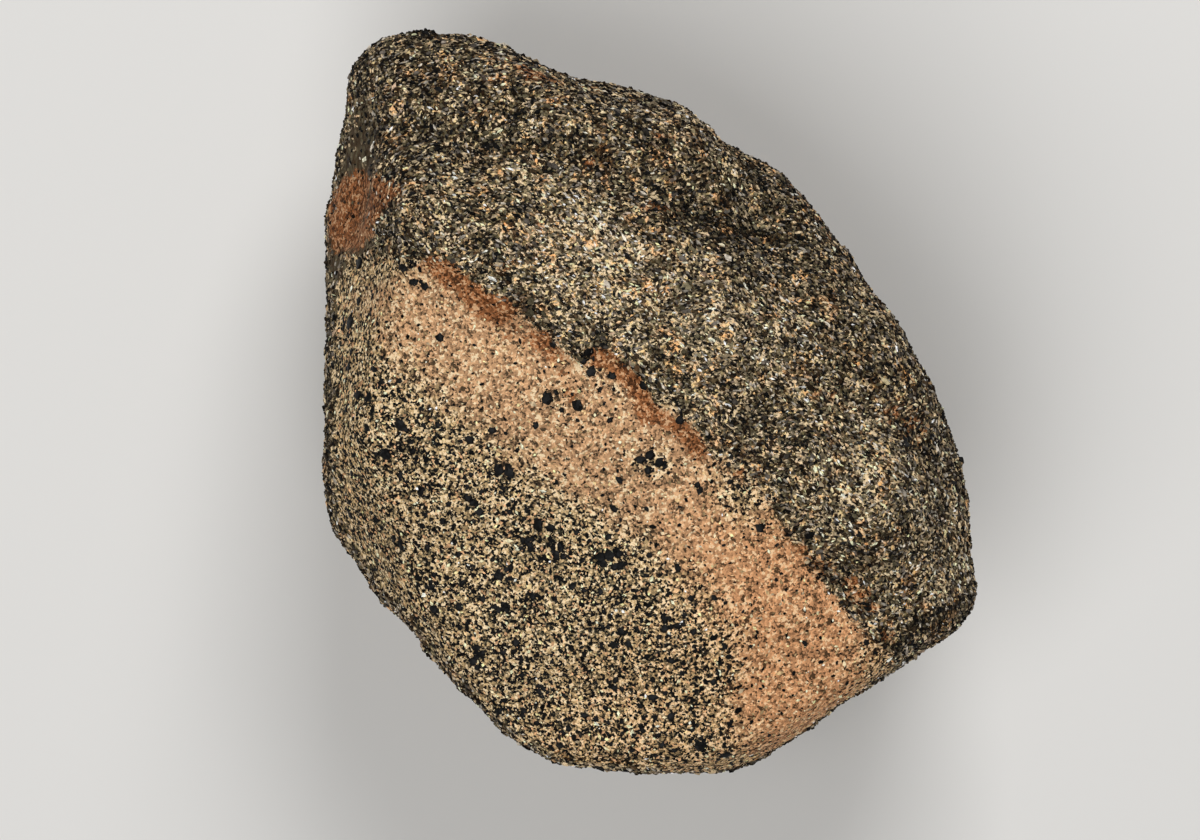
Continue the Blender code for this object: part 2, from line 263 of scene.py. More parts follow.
# How much the grains vary in size, and which way the crust's grains lie
SIZE_SPREAD = 0.28
LENGTH_RANGE = (0.8, 1.3)
WIDTH_RANGE = (0.8, 1.2)
STREAK_BEARING = -22.0
STREAK_WANDER_LENGTH = 13.0
# A grain's widest radius where its height is 1, and the most that a channel of its colour may be
CRYSTAL_RADIUS = 0.62
BRIGHTEST_GRAIN = 0.95
# Where the random draws start
CRUST_SEED = 7
FACE_SEED = 11
CRYSTAL_SEED = 17

# The stage, in metres and degrees
LIGHT_AIM = (0.0, 0.0, 0.08)
KEY_PLACE = (0.30, 1.25, 1.45)
KEY_SIZE = 0.9
FILL_PLACE = (-0.6, -0.9, 2.1)
FILL_SIZE = 1.8
FLOOR_BEND = 1.5
FLOOR_BEND_STEPS = 8
FLOOR_BEND_ANGLE = 80.0
FLOOR_SIDES = 96
WALL_RISE = (0.3, 0.0, 2.0)
FLOOR_ROUGHNESS = 0.85
FLOOR_SHINE = 0.2
NEAR_CLIP = 0.1
FAR_CLIP = 50.0

# The numbers that the stone's mesh holds at each corner
ZONE_NAMES = ("face", "stain", "tone", "specks", "green", "upward", "soft", "reddish", "bare", "height")


def colour_setting(name, description, red, green, blue):
    """A colour that can be changed in the panel."""
    return bpy.props.FloatVectorProperty(
        name=name, description=description, subtype="COLOR", size=4, min=0.0, max=1.0,
        default=(red, green, blue, 1.0),
    )


class StoneShape(bpy.types.PropertyGroup):
    """Sizes of the stone's fine surface."""

    refinements: bpy.props.IntProperty(
        name="Refinements",
        description="How many times the solid's faces are divided before the fine relief is raised",
        default=2, min=1, max=3,
    )
    crust_relief: bpy.props.FloatProperty(
        name="Crust relief",
        description="Height of the lumps and flakes of the crust",
        default=1.4 * MM, min=0.0, soft_max=3 * MM, subtype="DISTANCE", unit="LENGTH",
    )
    face_relief: bpy.props.FloatProperty(
        name="Face relief",
        description="Height of the fine chips on the broken tan face",
        default=0.45 * MM, min=0.0, soft_max=2 * MM, subtype="DISTANCE", unit="LENGTH",
    )


class StoneColours(bpy.types.PropertyGroup):
    """Colours of the stone's minerals and stains."""

    black: colour_setting("Black grains", "Black crystals and deep pits", 0.008, 0.008, 0.008)
    brown: colour_setting("Brown grains", "Ground colour of the crust", 0.050, 0.032, 0.017)
    olive: colour_setting("Olive grains", "Grey-green grains of the crust", 0.125, 0.105, 0.062)
    cream: colour_setting("Cream grains", "Pale grains of the crust", 0.62, 0.48, 0.30)
    rust: colour_setting("Rust", "Iron stains", 0.30, 0.105, 0.034)
    peach: colour_setting("Peach", "Smooth part of the broken face", 0.56, 0.32, 0.165)
    sand: colour_setting("Sand", "Speckled part of the broken face", 0.62, 0.43, 0.215)


class Studio(bpy.types.PropertyGroup):
    """The floor, the lights and the sky."""

    floor_colour: colour_setting("Floor", "Colour of the plain floor", 0.74, 0.73, 0.71)
    floor_radius: bpy.props.FloatProperty(
        name="Floor radius", description="Flat part of the floor, before it curves up",
        default=5.0, min=1.0, unit="LENGTH",
    )
    key_power: bpy.props.FloatProperty(
        name="Key light", description="Power of the light from the top of the picture", default=21.0,
        min=0.0, unit="POWER",
    )
    fill_power: bpy.props.FloatProperty(
        name="Fill light", description="Power of the broad light from the lower left", default=36.0,
        min=0.0, unit="POWER",
    )
    sky: bpy.props.FloatProperty(
        name="Sky", description="Brightness of the even light from all round", default=0.10, min=0.0,
    )


def smooth_step(values):
    """0 below 0, 1 above 1 and a smooth rise between."""
    t = np.clip(values, 0.0, 1.0)
    return t * t * (3.0 - 2.0 * t)


def noise_at(points, size, seed):
    """Smooth noise from -1 to 1 at each point, with features of about this size."""
    shift = Vector((seed * 17.3, seed * -9.1, seed * 5.7))
    return np.array([noise.noise(Vector(p) / size + shift) for p in points])


def lumps_at(points, size, seed):
    """0 in the creases between rounded lumps and up to 1 on their tops."""
    shift = Vector((seed * 11.9, seed * 7.7, seed * -3.1))
    found = np.array([noise.voronoi(Vector(p) / size + shift)[0][:2] for p in points])
    return np.clip(found[:, 1] - found[:, 0], 0.0, 1.0)


def seen_from_above(points):
    """Where each point shows in the camera's picture, measured at the rim's height."""
    nearer = CAMERA_HEIGHT / (CAMERA_HEIGHT + RIM_HEIGHT - points[:, 2])
    return PICTURE_CENTRE + (points[:, :2] - PICTURE_CENTRE) * nearer[:, None]


def line_distance(places, line, closed=False):
    """Distance of each place to a line through these points."""
    line = np.array(line, float)
    ends = np.roll(line, -1, axis=0) if closed else line[1:]
    starts = line if closed else line[:-1]
    best = np.full(len(places), np.inf)
    for start, end in zip(starts, ends):
        along = end - start
        share = np.clip((places - start) @ along / (along @ along), 0.0, 1.0)
        gap = places - start - share[:, None] * along
        best = np.minimum(best, np.hypot(gap[:, 0], gap[:, 1]))
    return best


def inside(places, outline):
    """Whether each place is inside a closed outline."""
    found = np.zeros(len(places), bool)
    outline = np.array(outline, float)
    for start, end in zip(outline, np.roll(outline, -1, axis=0)):
        crosses = (start[1] > places[:, 1]) != (end[1] > places[:, 1])
        rise = end[1] - start[1] if end[1] != start[1] else 1e-9
        reach = start[0] + (places[:, 1] - start[1]) * (end[0] - start[0]) / rise
        found ^= crosses & (places[:, 0] < reach)
    return found


def spots_at(places, spots):
    """The sum of soft oval spots at each place."""
    total = np.zeros(len(places))
    for x, y, length, width, bearing, strength in spots.values():
        turn = math.radians(bearing)
        across = places - np.array((x, y))
        u = (across[:, 0] * math.cos(turn) + across[:, 1] * math.sin(turn)) / length
        v = (across[:, 1] * math.cos(turn) - across[:, 0] * math.sin(turn)) / width
        total += strength * np.exp(-(u * u + v * v))
    return total


def zones(points, normals):
    """What the stone is at each point: a dict of numbers by name."""
    places = seen_from_above(points)
    wander = np.stack([noise_at(points, WANDER_LENGTH, seed) for seed in (1, 2)], axis=1)
    ragged = places + EDGE_WANDER * wander
    upward = smooth_step((normals[:, 2] + UPWARD_LEAN) / UPWARD_BLEND)
    upward = upward * smooth_step((points[:, 2] - TOP_STARTS) / TOP_BLEND)
    outline = FACE_CRUST_EDGE + FACE_FOOT
    depth = line_distance(ragged, outline, closed=True)
    face = np.where(inside(ragged, outline), depth, -depth)
    face = np.where(upward > 0.5, face, NOT_THE_FACE)
    stain = spots_at(ragged, STAINS)
    # The scarps' band: iron stain, and painted shade on the steps and at their foot
    for line, width, strength in SCARPS.values():
        stain += strength * np.exp(-(line_distance(ragged, line) / width) ** 2)
    sideways = 1.0 - upward
    side_stain = smooth_step(noise_at(points, SIDE_STAIN_LENGTH, seed=3) * 2.0 - 0.35)
    stain = stain * upward + SIDE_STAIN * sideways * side_stain
    side_tone = sideways * SIDE_TONE * noise_at(points, SIDE_TONE_LENGTH, seed=4)
    # The tone holds the rock's own paler and darker patches, and painted light and painted shade
    tone = spots_at(ragged, TONES_AND_PAINTED_SHADING) * upward + side_tone
    band = line_distance(places + BAND_WANDER * wander, SMOOTH_BAND)
    specks = smooth_step((band - SPECKS_START_AT) / (SPECKS_FULL_AT - SPECKS_START_AT))
    specks += spots_at(ragged, SPECKLED_PATCHES)
    green = spots_at(ragged, GREEN_BLOTCHES)
    warm = smooth_step((places[:, 0] - places[:, 1] - WARM_FROM) / WARM_OVER)
    reddish = noise_at(points, REDDISH_LENGTH, seed=6) * 0.5 + 0.3
    return {
        "face": face, "stain": np.clip(stain, 0.0, 1.0), "tone": np.clip(tone, -TONE_LIMIT, TONE_LIMIT),
        "specks": np.clip(specks, 0.0, 1.0), "green": np.clip(green, 0.0, 1.0), "upward": upward,
        "soft": noise_at(points, SOFT_LENGTH, seed=5),
        "bare": np.clip(spots_at(ragged, BARE_PLACES), 0.0, 1.0),
        "reddish": np.where(face > 0.0, warm, reddish),
    }


def mesh_arrays(mesh):
    """The corners and their normals, in millimetres."""
    points = np.empty(len(mesh.vertices) * 3, np.float32)
    normals = np.empty(len(mesh.vertices) * 3, np.float32)
    mesh.vertices.foreach_get("co", points)
    mesh.vertices.foreach_get("normal", normals)
    return points.reshape(-1, 3).astype(float) / MM, normals.reshape(-1, 3).astype(float)


def set_corners(mesh, points):
    """Moves the corners to these points, in millimetres."""
    mesh.vertices.foreach_set("co", (points * MM).astype(np.float32).ravel())
    mesh.update()


def set_values(mesh, name, values):
    """Stores one number at each corner, for the material to read."""
    layer = mesh.attributes.new(name, "FLOAT", "POINT")
    layer.data.foreach_set("value", values.astype(np.float32))


def mesh_from(form, name):
    """A new mesh with the bmesh's shape. The bmesh is freed."""
    mesh = bpy.data.meshes.new(name)
    form.to_mesh(mesh)
    form.free()
    return mesh


def add_object(name, data):
    """A new object of this mesh, light or camera, linked to the scene."""
    made = bpy.data.objects.new(name, data)
    bpy.context.scene.collection.objects.link(made)
    return made


def refined_solid(node, levels):
    """A smooth copy of a CAD node's mesh in even quads."""
    form = bmesh.new()
    form.from_mesh(node.data)
    bmesh.ops.remove_doubles(form, verts=form.verts, dist=1e-6)
    limit = math.radians(QUAD_ANGLE)
    bmesh.ops.join_triangles(
        form, faces=form.faces, angle_face_threshold=limit, angle_shape_threshold=limit,
    )
    mesh = mesh_from(form, "refined")
    holder = add_object("refined", mesh)
    halving = holder.modifiers.new("halving", "SUBSURF")
    halving.levels = levels
    halving.render_levels = levels
    shown = holder.evaluated_get(bpy.context.evaluated_depsgraph_get())
    made = bpy.data.meshes.new_from_object(shown)
    bpy.data.objects.remove(holder)
    bpy.data.meshes.remove(mesh)
    return made


def crust_relief(points):
    """Height of the crust's lumps, flakes and pits, about -1 to 1."""
    stretched = points * np.array(CRUST_STRETCH)
    waves = 0.9 * noise_at(stretched, 11.0, seed=11) + 0.7 * noise_at(stretched, 4.6, seed=12)
    lumps = 1.3 * (lumps_at(stretched, 6.5, seed=13) - 0.35) + 1.0 * (lumps_at(points, 3.3, seed=14) - 0.3)
    return (waves + lumps) * 0.6


def face_relief(points, zone):
    """Height of the chips and pits of the tan face, about -1 to 1."""
    waves = 0.7 * noise_at(points, 6.0, seed=21) + 0.5 * noise_at(points, 2.6, seed=22)
    pits = 1.6 * smooth_step(noise_at(points, 3.4, seed=23) * 3.0 - 0.9) * (0.3 + zone["specks"])
    return (waves - pits) * 0.7


def ridge_at(depth, size, middle, width):
    """Height of a soft ridge along the border, at each depth inside the broken face."""
    return size * np.exp(-((depth - middle) / width) ** 2)


def raise_relief(mesh, shape):
    """Moves the corners along their normals, keeps the flat spot flat and stores the zones' numbers."""
    points, normals = mesh_arrays(mesh)
    zone = zones(points, normals)
    on_face = smooth_step(zone["face"] / 1.5 + 0.5)
    smooth = smooth_step(zone["stain"] * 1.6 - 0.5)
    crust = crust_relief(points) * (shape.crust_relief / MM) * (1.0 - 0.5 * zone["bare"])
    face = face_relief(points, zone) * (shape.face_relief / MM)
    height = (crust * (1.0 - on_face) + face * on_face) * (1.0 - 0.6 * smooth)
    lip = ridge_at(zone["face"], *LIP) - ridge_at(zone["face"], *GROOVE)
    height += lip * zone["upward"] * smooth_step(-(points[:, 0] - points[:, 1] - LIP_ENDS) / LIP_FADE)
    free = smooth_step((points[:, 2] - FLAT_SPOT_HEIGHT) / FLAT_SPOT_BLEND)
    moved = points + normals * (height * free)[:, None]
    moved[:, 2] = np.maximum(moved[:, 2], 0.0)
    set_corners(mesh, moved)
    zone["height"] = height
    for name in ZONE_NAMES:
        set_values(mesh, name, zone[name])


def new_material(name):
    """A new material and its shader."""
    material = bpy.data.materials.new(name)
    material.use_nodes = True
    return material, material.node_tree.nodes["Principled BSDF"]


def add_node(tree, kind, sockets=None, **settings):
    """Adds a node. Sockets are given by name or number, each a value or another node's output."""
    made = tree.nodes.new(kind)
    for name, value in settings.items():
        setattr(made, name, value)
    for name, value in (sockets or {}).items():
        if isinstance(value, bpy.types.NodeSocket):
            tree.links.new(value, made.inputs[name])
        else:
            made.inputs[name].default_value = value
    return made


def sums(tree, operation, *values):
    """The result of one Math node."""
    return add_node(tree, "ShaderNodeMath", dict(enumerate(values)), operation=operation).outputs[0]


def between(tree, value, low, high):
    """0 below low, 1 above high and a smooth rise between."""
    sockets = {"Value": value, "From Min": low, "From Max": high}
    return add_node(tree, "ShaderNodeMapRange", sockets, interpolation_type="SMOOTHSTEP").outputs[0]


def mixed(tree, share, first, second, kind="MIX"):
    """Two colours mixed by a share."""
    made = add_node(
        tree, "ShaderNodeMix", {0: share, 6: first, 7: second}, data_type="RGBA", blend_type=kind,
    )
    return made.outputs[2]


def stored(tree, name):
    """A number that the mesh holds."""
    return add_node(tree, "ShaderNodeAttribute", attribute_name=name).outputs["Fac"]


def noise_node(tree, place, size, detail, rough):
    """Noise with features of this size, in the places' own unit: the node, for its value and colour."""
    sockets = {"Vector": place, "Scale": 1.0 / size, "Detail": detail, "Roughness": rough}
    return add_node(tree, "ShaderNodeTexNoise", sockets)


def random_by_cell(tree, place, size):
    """Random numbers from 0 to 1 that are the same all over a cell of this size: the node."""
    cell = add_node(tree, "ShaderNodeTexVoronoi", {"Vector": place, "Scale": 1.0 / size})
    return add_node(tree, "ShaderNodeSeparateColor", {0: cell.outputs["Color"]})


def shades(tree, value, stops):
    """A colour ramp. Stops are pairs of a place from 0 to 1 and a colour."""
    ramp = add_node(tree, "ShaderNodeValToRGB", {0: value})
    elements = ramp.color_ramp.elements
    while len(elements) < len(stops):
        elements.new(1.0)
    for element, (place, colour) in zip(elements, stops):
        element.position = place
        element.color = colour
    return ramp.outputs[0]


def moved_by(tree, place, shifts, amount):
    """Places pushed about by a noise's colour."""
    centred = add_node(tree, "ShaderNodeVectorMath", {0: shifts, 1: (0.5, 0.5, 0.5)}, operation="SUBTRACT")
    scaled = add_node(
        tree, "ShaderNodeVectorMath", {0: centred.outputs[0], "Scale": amount}, operation="SCALE",
    )
    return add_node(tree, "ShaderNodeVectorMath", {0: place, 1: scaled.outputs[0]}).outputs[0]


def scaled_by(colour, amount):
    """A colour made lighter or darker."""
    return tuple(channel * amount for channel in colour[:3]) + (1.0,)


def toned(colour, level):
    """A colour brought to this brightness, where 1 is white."""
    bright = 0.2126 * colour[0] + 0.7152 * colour[1] + 0.0722 * colour[2]
    return scaled_by(colour, level / bright)


def crust_colour(tree, grain, colours):
    """The crust: black, brown, olive and cream grains, redder in places, paler on its humps and darker in
    its troughs, hollows and margins, partly as painted light and painted shade.
    """
    # The tone spots, with their painted light on the humps and painted shade in the troughs and margins
    shift = sums(tree, "MULTIPLY", stored(tree, "tone"), 0.25)
    # Painted light and shade: paler where the relief stands high, darker in the hollows between the lumps
    shift = sums(tree, "MULTIPLY_ADD", stored(tree, "height"), 0.06, shift)
    shift = sums(tree, "MULTIPLY_ADD", stored(tree, "soft"), 0.42, shift)
    colour = shades(tree, sums(tree, "ADD", grain["value"], shift), [
        (0.02, toned(colours.black, 0.006)), (0.14, toned(colours.brown, 0.016)),
        (0.30, toned(colours.brown, 0.036)), (0.50, toned(colours.olive, 0.076)),
        (0.68, toned(colours.olive, 0.14)), (0.82, toned(colours.cream, 0.24)),
        # The palest cells are pale grains and also painted glints
        (0.95, toned(colours.cream, 0.46)), (1.0, toned(colours.cream, 0.72)),
    ])
    tint = shades(tree, grain["hue"], [
        (0.0, (0.98, 0.98, 1.08, 1.0)), (0.25, (1.0, 1.0, 1.0, 1.0)), (0.62, (1.02, 1.0, 0.94, 1.0)),
        (0.82, (1.03, 1.02, 0.78, 1.0)), (1.0, (1.18, 0.88, 0.64, 1.0)),
    ])
    colour = mixed(tree, 1.0, colour, tint, "MULTIPLY")
    reddish = sums(tree, "MULTIPLY_ADD", grain["mid"], 1.2, stored(tree, "reddish"))
    reddish = sums(tree, "MULTIPLY", between(tree, reddish, 0.95, 1.35), 0.7)
    return mixed(tree, reddish, colour, CRUST_REDDER, "MULTIPLY")


def bare_colour(tree, place, colours):
    """Smooth brown rock with upright streaks."""
    drawn = add_node(
        tree, "ShaderNodeVectorMath", {0: place, 1: (1.0, 0.2, 0.3)}, operation="MULTIPLY",
    ).outputs[0]
    return shades(tree, noise_node(tree, drawn, STREAK_SIZE, 3.0, 0.65).outputs[0], [
        (0.30, toned(colours.brown, 0.020)), (0.48, toned(colours.brown, 0.055)),
        (0.60, toned(colours.olive, 0.10)), (0.72, toned(colours.cream, 0.22)),
    ])


def face_colour(tree, grain, colours):
    """The broken face: a peach ground, redder at the lower right, that turns to sand full of dark grains."""
    specks = stored(tree, "specks")
    value = sums(tree, "MULTIPLY_ADD", stored(tree, "soft"), 0.12, grain["value"])
    value = sums(tree, "MULTIPLY_ADD", stored(tree, "green"), -0.10, value)
    value = sums(tree, "MULTIPLY_ADD", specks, -0.10, value)
    peach = shades(tree, value, [
        (0.0, toned(colours.brown, 0.05)), (0.08, toned(colours.peach, 0.14)),
        (0.27, toned(colours.peach, 0.25)), (0.50, toned(colours.peach, 0.34)),
        (0.75, toned(colours.peach, 0.43)), (0.93, toned(colours.peach, 0.55)),
        (1.0, toned(colours.cream, 0.68)),
    ])
    sand = shades(tree, value, [
        (0.0, toned(colours.black, 0.005)), (0.14, toned(colours.black, 0.010)),
        (0.22, toned(colours.olive, 0.045)), (0.34, toned(colours.olive, 0.12)),
        (0.48, toned(colours.sand, 0.27)), (0.68, toned(colours.sand, 0.52)),
        (0.88, toned(colours.cream, 0.76)), (1.0, toned(colours.cream, 0.78)),
    ])
    share = sums(tree, "MULTIPLY_ADD", grain["mid"], 0.9, specks)
    ground = mixed(tree, between(tree, share, 0.40, 1.35), peach, sand)
    warm = sums(tree, "MULTIPLY_ADD", specks, -0.4, stored(tree, "reddish"))
    return mixed(tree, warm, ground, FACE_WARMER, "MULTIPLY")


def stain_colour(tree, grain, colours):
    """Iron-stained rock, from dark brown to pale orange."""
    return shades(tree, grain["value"], [
        (0.05, toned(colours.rust, 0.03)), (0.25, toned(colours.rust, 0.08)),
        (0.50, toned(colours.rust, 0.13)), (0.78, toned(colours.rust, 0.20)),
        (1.0, toned(colours.peach, 0.42)),
    ])


def stone_material(colours):
    """Crust, broken face and stains in one procedural material, by the zones that the mesh holds."""
    material, shader = new_material("meteorite stone")
    tree = material.node_tree
    metres = add_node(tree, "ShaderNodeTexCoord").outputs["Object"]
    place = add_node(
        tree, "ShaderNodeVectorMath", {0: metres, "Scale": 1.0 / MM}, operation="SCALE",
    ).outputs[0]
    fine_noise = noise_node(tree, place, FINE_SIZE, 1.0, 0.6)
    pushed = moved_by(tree, place, fine_noise.outputs["Color"], CELL_WANDER)
    random = random_by_cell(tree, pushed, CELL_SIZE)
    mid = sums(tree, "SUBTRACT", noise_node(tree, place, MID_SIZE, 2.0, 0.5).outputs[0], 0.5)
    fine = sums(tree, "SUBTRACT", fine_noise.outputs[0], 0.5)
    value = sums(tree, "MULTIPLY_ADD", random.outputs[0], CELL_SHARE, CELL_BASE)
    value = sums(tree, "MULTIPLY_ADD", fine, FINE_SHARE, sums(tree, "ADD", value, mid))
    value = sums(tree, "MULTIPLY_ADD", value, CONTRAST, CONTRAST_SHIFT)
    grain = {"value": value, "hue": random.outputs[1], "mid": sums(tree, "ADD", mid, 0.5)}
    bare = between(tree, sums(tree, "MULTIPLY_ADD", mid, BARE_MID, stored(tree, "bare")), *BARE_RANGE)
    crust = mixed(tree, bare, crust_colour(tree, grain, colours), bare_colour(tree, place, colours))
    edge = sums(tree, "MULTIPLY_ADD", mid, MID_RAGGED, stored(tree, "face"))
    edge = sums(tree, "MULTIPLY_ADD", fine, FINE_RAGGED, edge)
    on_face = between(tree, edge, -BORDER_SOFTNESS, BORDER_SOFTNESS)
    colour = mixed(tree, on_face, crust, face_colour(tree, grain, colours))
    stained = sums(tree, "MULTIPLY_ADD", mid, STAIN_MID, stored(tree, "stain"))
    stained = between(tree, sums(tree, "MULTIPLY_ADD", fine, STAIN_FINE, stained), *STAIN_RANGE)
    stained = sums(tree, "MULTIPLY", stained, STAIN_COVER)
    colour = mixed(tree, stained, colour, stain_colour(tree, grain, colours))
    tree.links.new(colour, shader.inputs["Base Color"])
    smoothest, roughest = STONE_ROUGHNESS
    roughness = add_node(
        tree, "ShaderNodeMapRange", {"Value": grain["hue"], "To Min": smoothest, "To Max": roughest},
    ).outputs[0]
    tree.links.new(roughness, shader.inputs["Roughness"])
    shader.inputs["Specular IOR Level"].default_value = STONE_SHINE
    rough = sums(tree, "MULTIPLY_ADD", random.outputs[0], 0.5, fine)
    bump = add_node(tree, "ShaderNodeBump", {"Height": rough, "Strength": 0.8, "Distance": BUMP_DEPTH * MM})
    tree.links.new(bump.outputs[0], shader.inputs["Normal"])
    return material


def read_surface(mesh):
    """The stone's corners, normals and stored numbers, and its quads."""
    points, normals = mesh_arrays(mesh)
    quads = np.empty(len(mesh.loops), np.int32)
    mesh.loops.foreach_get("vertex_index", quads)
    surface = {"point": points, "normal": normals}
    for name in ZONE_NAMES:
        values = np.empty(len(mesh.vertices), np.float32)
        mesh.attributes[name].data.foreach_get("value", values)
        surface[name] = values.astype(float)
    return surface, quads.reshape(-1, 4)


def spread(surface, quads, count, weight, draws):
    """Picks random places on the surface, thicker where the weight is greater, with all that it holds."""
    corners = surface["point"][quads]
    area = 0.5 * np.linalg.norm(
        np.cross(corners[:, 2] - corners[:, 0], corners[:, 3] - corners[:, 1]), axis=1,
    )
    chance = np.cumsum(area * np.clip(weight[quads].mean(axis=1), 0.0, None))
    steps = (np.arange(count) + draws.random(count)) / count * chance[-1]
    chosen = quads[np.minimum(np.searchsorted(chance, steps), len(quads) - 1)]
    u, v = draws.random(count), draws.random(count)
    shares = np.stack([(1 - u) * (1 - v), u * (1 - v), u * v, (1 - u) * v], axis=1)
    picked = {}
    for name, values in surface.items():
        factors = shares[:, :, None] if values.ndim == 2 else shares
        picked[name] = (values[chosen] * factors).sum(axis=1)
    picked["normal"] /= np.linalg.norm(picked["normal"], axis=1)[:, None]
    return picked


def lying_turns(normals, bearings, tilt, draws):
    """Turns that lay small flakes on the surface: long side along the bearing, with a random tilt."""
    up = normals + tilt * draws.normal(size=normals.shape)
    up /= np.linalg.norm(up, axis=1)[:, None]
    ahead = np.stack([np.cos(bearings), np.sin(bearings), 0.3 * draws.normal(size=len(bearings))], axis=1)
    ahead -= (ahead * up).sum(axis=1)[:, None] * up
    ahead /= np.maximum(np.linalg.norm(ahead, axis=1), 1e-6)[:, None]
    return np.stack([ahead, np.cross(up, ahead), up], axis=2)


def crystal_shape(sides, top, lean):
    """A small crystal one unit high and about as wide, narrower at its top, which leans to one side."""
    form = bmesh.new()
    bmesh.ops.create_cone(
        form, cap_ends=True, segments=sides, radius1=CRYSTAL_RADIUS, radius2=CRYSTAL_RADIUS * top, depth=1.0,
    )
    upper = [corner for corner in form.verts if corner.co.z > 0.0]
    bmesh.ops.translate(form, verts=upper, vec=(lean, 0.6 * lean, 0.0))
    bmesh.ops.recalc_face_normals(form, faces=form.faces)
    return mesh_from(form, "crystal")


def chunk_shape():
    """A rough block about one unit across."""
    form = bmesh.new()
    bmesh.ops.create_icosphere(form, subdivisions=2, radius=0.5)
    for corner in form.verts:
        corner.co *= 1.0 + 0.45 * noise.noise(corner.co * 4.3 + Vector((2.1, 0.4, 5.2)))
    bmesh.ops.recalc_face_normals(form, faces=form.faces)
    return mesh_from(form, "chunk")


def joined_copies(shape, points, turns, sizes, colours):
    """One mesh of many copies of a small shape, each with its own place, turn, size and colour."""
    count = len(points)
    corners = np.array([corner.co for corner in shape.vertices])
    loops = np.array([loop.vertex_index for loop in shape.loops])
    starts = np.array([face.loop_start for face in shape.polygons])
    bpy.data.meshes.remove(shape)
    placed = np.einsum("nij,nvj->nvi", turns, corners[None] * sizes[:, None, :]) + points[:, None, :]
    order = np.arange(count)[:, None]
    mesh = bpy.data.meshes.new("copies")
    mesh.vertices.add(count * len(corners))
    mesh.vertices.foreach_set("co", (placed * MM).astype(np.float32).ravel())
    mesh.loops.add(count * len(loops))
    mesh.loops.foreach_set("vertex_index", (loops + order * len(corners)).astype(np.int32).ravel())
    mesh.polygons.add(count * len(starts))
    mesh.polygons.foreach_set("loop_start", (starts + order * len(loops)).astype(np.int32).ravel())
    mesh.update(calc_edges=True)
    if mesh.validate():
        raise RuntimeError("the joined copies don't make a sound mesh")
    mineral = np.column_stack([colours, np.ones(count)]).repeat(len(corners), axis=0)
    layer = mesh.attributes.new("mineral", "FLOAT_COLOR", "POINT")
    layer.data.foreach_set("color", mineral.astype(np.float32).ravel())
    return mesh


def grain_material(name, roughness, shine):
    """Crystals in the colours that their corners hold, mottled."""
    material, shader = new_material(name)
    tree = material.node_tree
    mineral = add_node(tree, "ShaderNodeAttribute", attribute_name="mineral").outputs["Color"]
    metres = add_node(tree, "ShaderNodeTexCoord").outputs["Object"]
    mottle = noise_node(tree, metres, MOTTLE_SIZE * MM, 1.0, 0.6).outputs[0]
    shade = shades(tree, mottle, [(0.3, (0.55, 0.55, 0.55, 1.0)), (0.7, (1.3, 1.3, 1.3, 1.0))])
    tree.links.new(mixed(tree, 1.0, mineral, shade, "MULTIPLY"), shader.inputs["Base Color"])
    shader.inputs["Roughness"].default_value = roughness
    shader.inputs["Specular IOR Level"].default_value = shine
    return material


def show_piece(name, mesh, material, smooth=True):
    """Links a finished mesh to the scene as one piece that rides with the stone."""
    mesh.name = name
    mesh.materials.clear()
    mesh.materials.append(material)
    if smooth:
        mesh.shade_smooth()
    else:
        mesh.shade_flat()
    piece = add_object(name, mesh)
    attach(piece, "root")
    return piece


class METEORITE_OT_stone(bpy.types.Operator):
    """Refines the solid, raises its fine relief and gives it its minerals"""

    bl_idname = "meteorite.stone"
    bl_label = "Dress the stone"

    def execute(self, context):
        scene = context.scene
        mesh = refined_solid(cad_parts["meteorite"], scene.stone_shape.refinements)
        raise_relief(mesh, scene.stone_shape)
        piece = show_piece("stone_surface", mesh, stone_material(scene.stone_colours))
        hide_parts("meteorite")
        return {"FINISHED"}


def grain_bearings(picked, draws):
    """The crust's flakes mostly lie along its streaks, which wander."""
    wander = noise_at(picked["point"], STREAK_WANDER_LENGTH, seed=41)
    return math.radians(STREAK_BEARING) + 0.9 * wander + 0.5 * draws.normal(size=len(wander))


def crust_weight(surface):
    """How thickly the crust carries grains: few on stains, bare rock and the sides, none on the face."""
    heights = surface["point"][:, 2]
    weight = np.where(surface["face"] < -0.3, 1.0, 0.0)
    weight *= 1.0 - 0.8 * smooth_step(surface["bare"] * 1.6 - 0.3)
    weight *= 1.0 - 0.85 * smooth_step(surface["stain"] * 2.4 - 0.6)
    under = smooth_step((60.0 - heights) / 30.0) * smooth_step(-surface["normal"][:, 2] + 0.2)
    weight *= (0.45 + 0.55 * surface["upward"]) * (1.0 - 0.5 * under)
    return weight * smooth_step(heights - 1.5)


